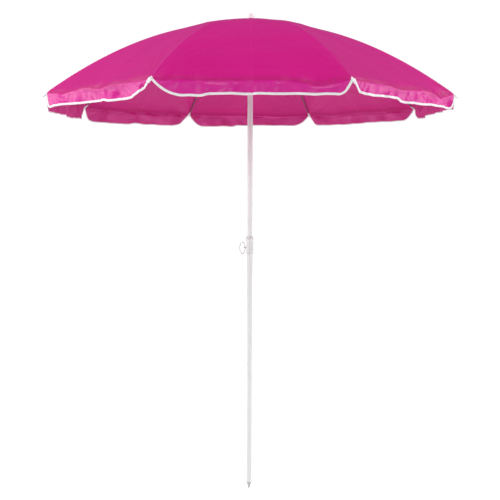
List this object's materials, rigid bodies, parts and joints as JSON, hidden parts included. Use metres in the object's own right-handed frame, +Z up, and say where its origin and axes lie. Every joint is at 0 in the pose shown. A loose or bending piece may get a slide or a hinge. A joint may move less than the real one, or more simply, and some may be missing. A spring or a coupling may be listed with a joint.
{
  "type": "beach umbrella",
  "caption": "Open beach umbrella: telescoping clamped steel pole with a ground spike, and a ribbed folding canopy with a scalloped, white-edged valance.",
  "frame": {"origin": "the point of the ground spike, on the pole axis", "axes": "+Z up along the pole; -Y towards the middle of the front panel; -X towards the clamp screw"},
  "size_m": [1.5406, 1.5406, 1.977],
  "materials": {
    "white_tube": "satin white powder coat",
    "dark_steel": "dark plated wire",
    "white_plastic": "moulded, slightly glossy",
    "grey_plastic": "moulded, matt",
    "white_trim": "white woven binding tape",
    "canopy_cloth": "magenta coated polyester, satin sheen"
  },
  "bodies": {
    "lower_pole": {"ground_spike": "grey_plastic", "lower_tube": "white_tube", "clamp_collar": "white_plastic"},
    "pole_liner": {"pole_liner": "white_plastic"},
    "upper_pole": {"tube_plug": "white_plastic", "upper_tube": "white_tube", "crown_notch": "white_plastic", "finial": "white_plastic"},
    "clamp_screw": {"clamp_screw": "white_tube"},
    "thumb_ring": {"thumb_ring": "white_plastic"},
    "catch_button": {"catch_button": "dark_steel"},
    "runner": {"runner": "white_plastic"},
    "rib_1": {"rib_1": "dark_steel"},
    "rib_2": {"rib_2": "dark_steel"},
    "rib_3": {"rib_3": "dark_steel"},
    "rib_4": {"rib_4": "dark_steel"},
    "rib_5": {"rib_5": "dark_steel"},
    "rib_6": {"rib_6": "dark_steel"},
    "rib_7": {"rib_7": "dark_steel"},
    "rib_8": {"rib_8": "dark_steel"},
    "stretcher_1": {"stretcher_1": "dark_steel"},
    "stretcher_2": {"stretcher_2": "dark_steel"},
    "stretcher_3": {"stretcher_3": "dark_steel"},
    "stretcher_4": {"stretcher_4": "dark_steel"},
    "stretcher_5": {"stretcher_5": "dark_steel"},
    "stretcher_6": {"stretcher_6": "dark_steel"},
    "stretcher_7": {"stretcher_7": "dark_steel"},
    "stretcher_8": {"stretcher_8": "dark_steel"},
    "panel_1_left": {"panel_1_left": "canopy_cloth"},
    "panel_8_right": {"panel_8_right": "canopy_cloth"},
    "panel_2_left": {"panel_2_left": "canopy_cloth"},
    "panel_1_right": {"panel_1_right": "canopy_cloth"},
    "panel_3_left": {"panel_3_left": "canopy_cloth"},
    "panel_2_right": {"panel_2_right": "canopy_cloth"},
    "panel_4_left": {"panel_4_left": "canopy_cloth"},
    "panel_3_right": {"panel_3_right": "canopy_cloth"},
    "panel_5_left": {"panel_5_left": "canopy_cloth"},
    "panel_4_right": {"panel_4_right": "canopy_cloth"},
    "panel_6_left": {"panel_6_left": "canopy_cloth"},
    "panel_5_right": {"panel_5_right": "canopy_cloth"},
    "panel_7_left": {"panel_7_left": "canopy_cloth"},
    "panel_6_right": {"panel_6_right": "canopy_cloth"},
    "panel_8_left": {"panel_8_left": "canopy_cloth"},
    "panel_7_right": {"panel_7_right": "canopy_cloth"},
    "valance_1_left": {"valance_1_left": "canopy_cloth"},
    "valance_8_right": {"valance_8_right": "canopy_cloth"},
    "valance_2_left": {"valance_2_left": "canopy_cloth"},
    "valance_1_right": {"valance_1_right": "canopy_cloth"},
    "valance_3_left": {"valance_3_left": "canopy_cloth"},
    "valance_2_right": {"valance_2_right": "canopy_cloth"},
    "valance_4_left": {"valance_4_left": "canopy_cloth"},
    "valance_3_right": {"valance_3_right": "canopy_cloth"},
    "valance_5_left": {"valance_5_left": "canopy_cloth"},
    "valance_4_right": {"valance_4_right": "canopy_cloth"},
    "valance_6_left": {"valance_6_left": "canopy_cloth"},
    "valance_5_right": {"valance_5_right": "canopy_cloth"},
    "valance_7_left": {"valance_7_left": "canopy_cloth"},
    "valance_6_right": {"valance_6_right": "canopy_cloth"},
    "valance_8_left": {"valance_8_left": "canopy_cloth"},
    "valance_7_right": {"valance_7_right": "canopy_cloth"}
  },
  "joints": [
    {"name": "pole_swivel", "type": "hinge", "parent": "lower_pole", "child": "pole_liner", "pos_m": [0, 0, 1.04], "axis": [0, 0, 1], "continuous": true},
    {"name": "pole_lower", "type": "slide", "parent": "pole_liner", "child": "upper_pole", "axis": [0, 0, -1], "range_m": [-0.05, 0.5]},
    {"name": "screw_feed", "type": "slide", "parent": "lower_pole", "child": "clamp_screw", "axis": [1, 0, 0], "range_m": [-0.00126, 0.00001]},
    {"name": "thumb_turn", "type": "hinge", "parent": "clamp_screw", "child": "thumb_ring", "pos_m": [-0.0224, 0, 1.001], "axis": [1, 0, 0], "range_deg": [-450, 0]},
    {"name": "catch_press", "type": "slide", "parent": "upper_pole", "child": "catch_button", "axis": [0.2079, -0.9781, 0], "range_m": [0, 0.004], "stiffness_N_per_m": 400},
    {"name": "runner_slide", "type": "slide", "parent": "upper_pole", "child": "runner", "axis": [0, 0, 1], "range_m": [-0.4471, 0]},
    {"name": "rib_1_fold", "type": "hinge", "parent": "upper_pole", "child": "rib_1", "pos_m": [-0.00498, -0.01201, 1.92], "axis": [0.9239, -0.3827, 0], "range_deg": [0, 65.78]},
    {"name": "rib_2_fold", "type": "hinge", "parent": "upper_pole", "child": "rib_2", "pos_m": [0.00498, -0.01201, 1.92], "axis": [0.9239, 0.3827, 0], "range_deg": [0, 65.78]},
    {"name": "rib_3_fold", "type": "hinge", "parent": "upper_pole", "child": "rib_3", "pos_m": [0.01201, -0.00498, 1.92], "axis": [0.3827, 0.9239, 0], "range_deg": [0, 65.78]},
    {"name": "rib_4_fold", "type": "hinge", "parent": "upper_pole", "child": "rib_4", "pos_m": [0.01201, 0.00498, 1.92], "axis": [-0.3827, 0.9239, 0], "range_deg": [0, 65.78]},
    {"name": "rib_5_fold", "type": "hinge", "parent": "upper_pole", "child": "rib_5", "pos_m": [0.00498, 0.01201, 1.92], "axis": [-0.9239, 0.3827, 0], "range_deg": [0, 65.78]},
    {"name": "rib_6_fold", "type": "hinge", "parent": "upper_pole", "child": "rib_6", "pos_m": [-0.00498, 0.01201, 1.92], "axis": [-0.9239, -0.3827, 0], "range_deg": [0, 65.78]},
    {"name": "rib_7_fold", "type": "hinge", "parent": "upper_pole", "child": "rib_7", "pos_m": [-0.01201, 0.00498, 1.92], "axis": [-0.3827, -0.9239, 0], "range_deg": [0, 65.78]},
    {"name": "rib_8_fold", "type": "hinge", "parent": "upper_pole", "child": "rib_8", "pos_m": [-0.01201, -0.00498, 1.92], "axis": [0.3827, -0.9239, 0], "range_deg": [0, 65.78]},
    {"name": "stretcher_1_fold", "type": "hinge", "parent": "rib_1", "child": "stretcher_1", "pos_m": [-0.12679, -0.3155, 1.86791], "axis": [0.9239, -0.3827, 0], "range_deg": [-113.8, 0]},
    {"name": "stretcher_2_fold", "type": "hinge", "parent": "rib_2", "child": "stretcher_2", "pos_m": [0.13344, -0.31274, 1.86791], "axis": [0.9239, 0.3827, 0], "range_deg": [-113.8, 0]},
    {"name": "stretcher_3_fold", "type": "hinge", "parent": "rib_3", "child": "stretcher_3", "pos_m": [0.3155, -0.12679, 1.86791], "axis": [0.3827, 0.9239, 0], "range_deg": [-113.8, 0]},
    {"name": "stretcher_4_fold", "type": "hinge", "parent": "rib_4", "child": "stretcher_4", "pos_m": [0.31274, 0.13344, 1.86791], "axis": [-0.3827, 0.9239, 0], "range_deg": [-113.8, 0]},
    {"name": "stretcher_5_fold", "type": "hinge", "parent": "rib_5", "child": "stretcher_5", "pos_m": [0.12679, 0.3155, 1.86791], "axis": [-0.9239, 0.3827, 0], "range_deg": [-113.8, 0]},
    {"name": "stretcher_6_fold", "type": "hinge", "parent": "rib_6", "child": "stretcher_6", "pos_m": [-0.13344, 0.31274, 1.86791], "axis": [-0.9239, -0.3827, 0], "range_deg": [-113.8, 0]},
    {"name": "stretcher_7_fold", "type": "hinge", "parent": "rib_7", "child": "stretcher_7", "pos_m": [-0.3155, 0.12679, 1.86791], "axis": [-0.3827, -0.9239, 0], "range_deg": [-113.8, 0]},
    {"name": "stretcher_8_fold", "type": "hinge", "parent": "rib_8", "child": "stretcher_8", "pos_m": [-0.31274, -0.13344, 1.86791], "axis": [0.3827, -0.9239, 0], "range_deg": [-113.8, 0]},
    {"name": "panel_1_left_fold", "type": "hinge", "parent": "rib_1", "child": "panel_1_left", "pos_m": [-0.13333, -0.37773, 1.8035], "axis": [-0.4143, -0.8265, -0.3811], "range_deg": [0, 68.5], "deforming": ["panel_1_left"]},
    {"name": "panel_8_right_fold", "type": "hinge", "parent": "rib_1", "child": "panel_8_right", "pos_m": [-0.17282, -0.36137, 1.8035], "axis": [-0.2914, -0.8774, -0.3811], "range_deg": [-68.5, 0], "deforming": ["panel_8_right"]},
    {"name": "panel_2_left_fold", "type": "hinge", "parent": "rib_2", "child": "panel_2_left", "pos_m": [0.17282, -0.36137, 1.8035], "axis": [0.2914, -0.8774, -0.3811], "range_deg": [0, 68.5], "deforming": ["panel_2_left"]},
    {"name": "panel_1_right_fold", "type": "hinge", "parent": "rib_2", "child": "panel_1_right", "pos_m": [0.13333, -0.37773, 1.8035], "axis": [0.4143, -0.8265, -0.3811], "range_deg": [-68.5, 0], "deforming": ["panel_1_right"]},
    {"name": "panel_3_left_fold", "type": "hinge", "parent": "rib_3", "child": "panel_3_left", "pos_m": [0.37773, -0.13333, 1.8035], "axis": [0.8265, -0.4143, -0.3811], "range_deg": [0, 68.5], "deforming": ["panel_3_left"]},
    {"name": "panel_2_right_fold", "type": "hinge", "parent": "rib_3", "child": "panel_2_right", "pos_m": [0.36137, -0.17282, 1.8035], "axis": [0.8774, -0.2914, -0.3811], "range_deg": [-68.5, 0], "deforming": ["panel_2_right"]},
    {"name": "panel_4_left_fold", "type": "hinge", "parent": "rib_4", "child": "panel_4_left", "pos_m": [0.36137, 0.17282, 1.8035], "axis": [0.8774, 0.2914, -0.3811], "range_deg": [0, 68.5], "deforming": ["panel_4_left"]},
    {"name": "panel_3_right_fold", "type": "hinge", "parent": "rib_4", "child": "panel_3_right", "pos_m": [0.37773, 0.13333, 1.8035], "axis": [0.8265, 0.4143, -0.3811], "range_deg": [-68.5, 0], "deforming": ["panel_3_right"]},
    {"name": "panel_5_left_fold", "type": "hinge", "parent": "rib_5", "child": "panel_5_left", "pos_m": [0.13333, 0.37773, 1.8035], "axis": [0.4143, 0.8265, -0.3811], "range_deg": [0, 68.5], "deforming": ["panel_5_left"]},
    {"name": "panel_4_right_fold", "type": "hinge", "parent": "rib_5", "child": "panel_4_right", "pos_m": [0.17282, 0.36137, 1.8035], "axis": [0.2914, 0.8774, -0.3811], "range_deg": [-68.5, 0], "deforming": ["panel_4_right"]},
    {"name": "panel_6_left_fold", "type": "hinge", "parent": "rib_6", "child": "panel_6_left", "pos_m": [-0.17282, 0.36137, 1.8035], "axis": [-0.2914, 0.8774, -0.3811], "range_deg": [0, 68.5], "deforming": ["panel_6_left"]},
    {"name": "panel_5_right_fold", "type": "hinge", "parent": "rib_6", "child": "panel_5_right", "pos_m": [-0.13333, 0.37773, 1.8035], "axis": [-0.4143, 0.8265, -0.3811], "range_deg": [-68.5, 0], "deforming": ["panel_5_right"]},
    {"name": "panel_7_left_fold", "type": "hinge", "parent": "rib_7", "child": "panel_7_left", "pos_m": [-0.37773, 0.13333, 1.8035], "axis": [-0.8265, 0.4143, -0.3811], "range_deg": [0, 68.5], "deforming": ["panel_7_left"]},
    {"name": "panel_6_right_fold", "type": "hinge", "parent": "rib_7", "child": "panel_6_right", "pos_m": [-0.36137, 0.17282, 1.8035], "axis": [-0.8774, 0.2914, -0.3811], "range_deg": [-68.5, 0], "deforming": ["panel_6_right"]},
    {"name": "panel_8_left_fold", "type": "hinge", "parent": "rib_8", "child": "panel_8_left", "pos_m": [-0.36137, -0.17282, 1.8035], "axis": [-0.8774, -0.2914, -0.3811], "range_deg": [0, 68.5], "deforming": ["panel_8_left"]},
    {"name": "panel_7_right_fold", "type": "hinge", "parent": "rib_8", "child": "panel_7_right", "pos_m": [-0.37773, -0.13333, 1.8035], "axis": [-0.8265, -0.4143, -0.3811], "range_deg": [-68.5, 0], "deforming": ["panel_7_right"]},
    {"name": "valance_1_left_fold", "type": "hinge", "parent": "panel_1_left", "child": "valance_1_left", "pos_m": [-0.3138, -0.75758, 1.609], "axis": [1, 0, 0], "range_deg": [-53.3, 0], "deforming": ["valance_1_left"]},
    {"name": "valance_8_right_fold", "type": "hinge", "parent": "panel_8_right", "child": "valance_8_right", "pos_m": [-0.3138, -0.75758, 1.609], "axis": [-0.7071, 0.7071, 0], "range_deg": [0, 53.3], "deforming": ["valance_8_right"]},
    {"name": "valance_2_left_fold", "type": "hinge", "parent": "panel_2_left", "child": "valance_2_left", "pos_m": [0.3138, -0.75758, 1.609], "axis": [0.7071, 0.7071, 0], "range_deg": [-53.3, 0], "deforming": ["valance_2_left"]},
    {"name": "valance_1_right_fold", "type": "hinge", "parent": "panel_1_right", "child": "valance_1_right", "pos_m": [0.3138, -0.75758, 1.609], "axis": [-1, 0, 0], "range_deg": [0, 53.3], "deforming": ["valance_1_right"]},
    {"name": "valance_3_left_fold", "type": "hinge", "parent": "panel_3_left", "child": "valance_3_left", "pos_m": [0.75758, -0.3138, 1.609], "axis": [0, 1, 0], "range_deg": [-53.3, 0], "deforming": ["valance_3_left"]},
    {"name": "valance_2_right_fold", "type": "hinge", "parent": "panel_2_right", "child": "valance_2_right", "pos_m": [0.75758, -0.3138, 1.609], "axis": [-0.7071, -0.7071, 0], "range_deg": [0, 53.3], "deforming": ["valance_2_right"]},
    {"name": "valance_4_left_fold", "type": "hinge", "parent": "panel_4_left", "child": "valance_4_left", "pos_m": [0.75758, 0.3138, 1.609], "axis": [-0.7071, 0.7071, 0], "range_deg": [-53.3, 0], "deforming": ["valance_4_left"]},
    {"name": "valance_3_right_fold", "type": "hinge", "parent": "panel_3_right", "child": "valance_3_right", "pos_m": [0.75758, 0.3138, 1.609], "axis": [0, -1, 0], "range_deg": [0, 53.3], "deforming": ["valance_3_right"]},
    {"name": "valance_5_left_fold", "type": "hinge", "parent": "panel_5_left", "child": "valance_5_left", "pos_m": [0.3138, 0.75758, 1.609], "axis": [-1, 0, 0], "range_deg": [-53.3, 0], "deforming": ["valance_5_left"]},
    {"name": "valance_4_right_fold", "type": "hinge", "parent": "panel_4_right", "child": "valance_4_right", "pos_m": [0.3138, 0.75758, 1.609], "axis": [0.7071, -0.7071, 0], "range_deg": [0, 53.3], "deforming": ["valance_4_right"]},
    {"name": "valance_6_left_fold", "type": "hinge", "parent": "panel_6_left", "child": "valance_6_left", "pos_m": [-0.3138, 0.75758, 1.609], "axis": [-0.7071, -0.7071, 0], "range_deg": [-53.3, 0], "deforming": ["valance_6_left"]},
    {"name": "valance_5_right_fold", "type": "hinge", "parent": "panel_5_right", "child": "valance_5_right", "pos_m": [-0.3138, 0.75758, 1.609], "axis": [1, 0, 0], "range_deg": [0, 53.3], "deforming": ["valance_5_right"]},
    {"name": "valance_7_left_fold", "type": "hinge", "parent": "panel_7_left", "child": "valance_7_left", "pos_m": [-0.75758, 0.3138, 1.609], "axis": [0, -1, 0], "range_deg": [-53.3, 0], "deforming": ["valance_7_left"]},
    {"name": "valance_6_right_fold", "type": "hinge", "parent": "panel_6_right", "child": "valance_6_right", "pos_m": [-0.75758, 0.3138, 1.609], "axis": [0.7071, 0.7071, 0], "range_deg": [0, 53.3], "deforming": ["valance_6_right"]},
    {"name": "valance_8_left_fold", "type": "hinge", "parent": "panel_8_left", "child": "valance_8_left", "pos_m": [-0.75758, -0.3138, 1.609], "axis": [0.7071, -0.7071, 0], "range_deg": [-53.3, 0], "deforming": ["valance_8_left"]},
    {"name": "valance_7_right_fold", "type": "hinge", "parent": "panel_7_right", "child": "valance_7_right", "pos_m": [-0.75758, -0.3138, 1.609], "axis": [0, 1, 0], "range_deg": [0, 53.3], "deforming": ["valance_7_right"]}
  ],
  "couplings": [
    {"joint": "screw_feed", "follows": "thumb_turn", "m_per_rad": 0.00015915},
    {"joint": "rib_1_fold", "follows": "runner_slide", "rad_per_m": -2.5562},
    {"joint": "rib_2_fold", "follows": "runner_slide", "rad_per_m": -2.5562},
    {"joint": "rib_3_fold", "follows": "runner_slide", "rad_per_m": -2.5562},
    {"joint": "rib_4_fold", "follows": "runner_slide", "rad_per_m": -2.5562},
    {"joint": "rib_5_fold", "follows": "runner_slide", "rad_per_m": -2.5562},
    {"joint": "rib_6_fold", "follows": "runner_slide", "rad_per_m": -2.5562},
    {"joint": "rib_7_fold", "follows": "runner_slide", "rad_per_m": -2.5562},
    {"joint": "rib_8_fold", "follows": "runner_slide", "rad_per_m": -2.5562},
    {"joint": "stretcher_1_fold", "follows": "runner_slide", "rad_per_m": 4.4307},
    {"joint": "stretcher_2_fold", "follows": "runner_slide", "rad_per_m": 4.4307},
    {"joint": "stretcher_3_fold", "follows": "runner_slide", "rad_per_m": 4.4307},
    {"joint": "stretcher_4_fold", "follows": "runner_slide", "rad_per_m": 4.4307},
    {"joint": "stretcher_5_fold", "follows": "runner_slide", "rad_per_m": 4.4307},
    {"joint": "stretcher_6_fold", "follows": "runner_slide", "rad_per_m": 4.4307},
    {"joint": "stretcher_7_fold", "follows": "runner_slide", "rad_per_m": 4.4307},
    {"joint": "stretcher_8_fold", "follows": "runner_slide", "rad_per_m": 4.4307},
    {"joint": "panel_1_left_fold", "follows": "runner_slide", "rad_per_m": -2.6623},
    {"joint": "panel_8_right_fold", "follows": "runner_slide", "rad_per_m": 2.6623},
    {"joint": "panel_2_left_fold", "follows": "runner_slide", "rad_per_m": -2.6623},
    {"joint": "panel_1_right_fold", "follows": "runner_slide", "rad_per_m": 2.6623},
    {"joint": "panel_3_left_fold", "follows": "runner_slide", "rad_per_m": -2.6623},
    {"joint": "panel_2_right_fold", "follows": "runner_slide", "rad_per_m": 2.6623},
    {"joint": "panel_4_left_fold", "follows": "runner_slide", "rad_per_m": -2.6623},
    {"joint": "panel_3_right_fold", "follows": "runner_slide", "rad_per_m": 2.6623},
    {"joint": "panel_5_left_fold", "follows": "runner_slide", "rad_per_m": -2.6623},
    {"joint": "panel_4_right_fold", "follows": "runner_slide", "rad_per_m": 2.6623},
    {"joint": "panel_6_left_fold", "follows": "runner_slide", "rad_per_m": -2.6623},
    {"joint": "panel_5_right_fold", "follows": "runner_slide", "rad_per_m": 2.6623},
    {"joint": "panel_7_left_fold", "follows": "runner_slide", "rad_per_m": -2.6623},
    {"joint": "panel_6_right_fold", "follows": "runner_slide", "rad_per_m": 2.6623},
    {"joint": "panel_8_left_fold", "follows": "runner_slide", "rad_per_m": -2.6623},
    {"joint": "panel_7_right_fold", "follows": "runner_slide", "rad_per_m": 2.6623},
    {"joint": "valance_1_left_fold", "follows": "runner_slide", "rad_per_m": 2.0689},
    {"joint": "valance_8_right_fold", "follows": "runner_slide", "rad_per_m": -2.0689},
    {"joint": "valance_2_left_fold", "follows": "runner_slide", "rad_per_m": 2.0689},
    {"joint": "valance_1_right_fold", "follows": "runner_slide", "rad_per_m": -2.0689},
    {"joint": "valance_3_left_fold", "follows": "runner_slide", "rad_per_m": 2.0689},
    {"joint": "valance_2_right_fold", "follows": "runner_slide", "rad_per_m": -2.0689},
    {"joint": "valance_4_left_fold", "follows": "runner_slide", "rad_per_m": 2.0689},
    {"joint": "valance_3_right_fold", "follows": "runner_slide", "rad_per_m": -2.0689},
    {"joint": "valance_5_left_fold", "follows": "runner_slide", "rad_per_m": 2.0689},
    {"joint": "valance_4_right_fold", "follows": "runner_slide", "rad_per_m": -2.0689},
    {"joint": "valance_6_left_fold", "follows": "runner_slide", "rad_per_m": 2.0689},
    {"joint": "valance_5_right_fold", "follows": "runner_slide", "rad_per_m": -2.0689},
    {"joint": "valance_7_left_fold", "follows": "runner_slide", "rad_per_m": 2.0689},
    {"joint": "valance_6_right_fold", "follows": "runner_slide", "rad_per_m": -2.0689},
    {"joint": "valance_8_left_fold", "follows": "runner_slide", "rad_per_m": 2.0689},
    {"joint": "valance_7_right_fold", "follows": "runner_slide", "rad_per_m": -2.0689}
  ]
}
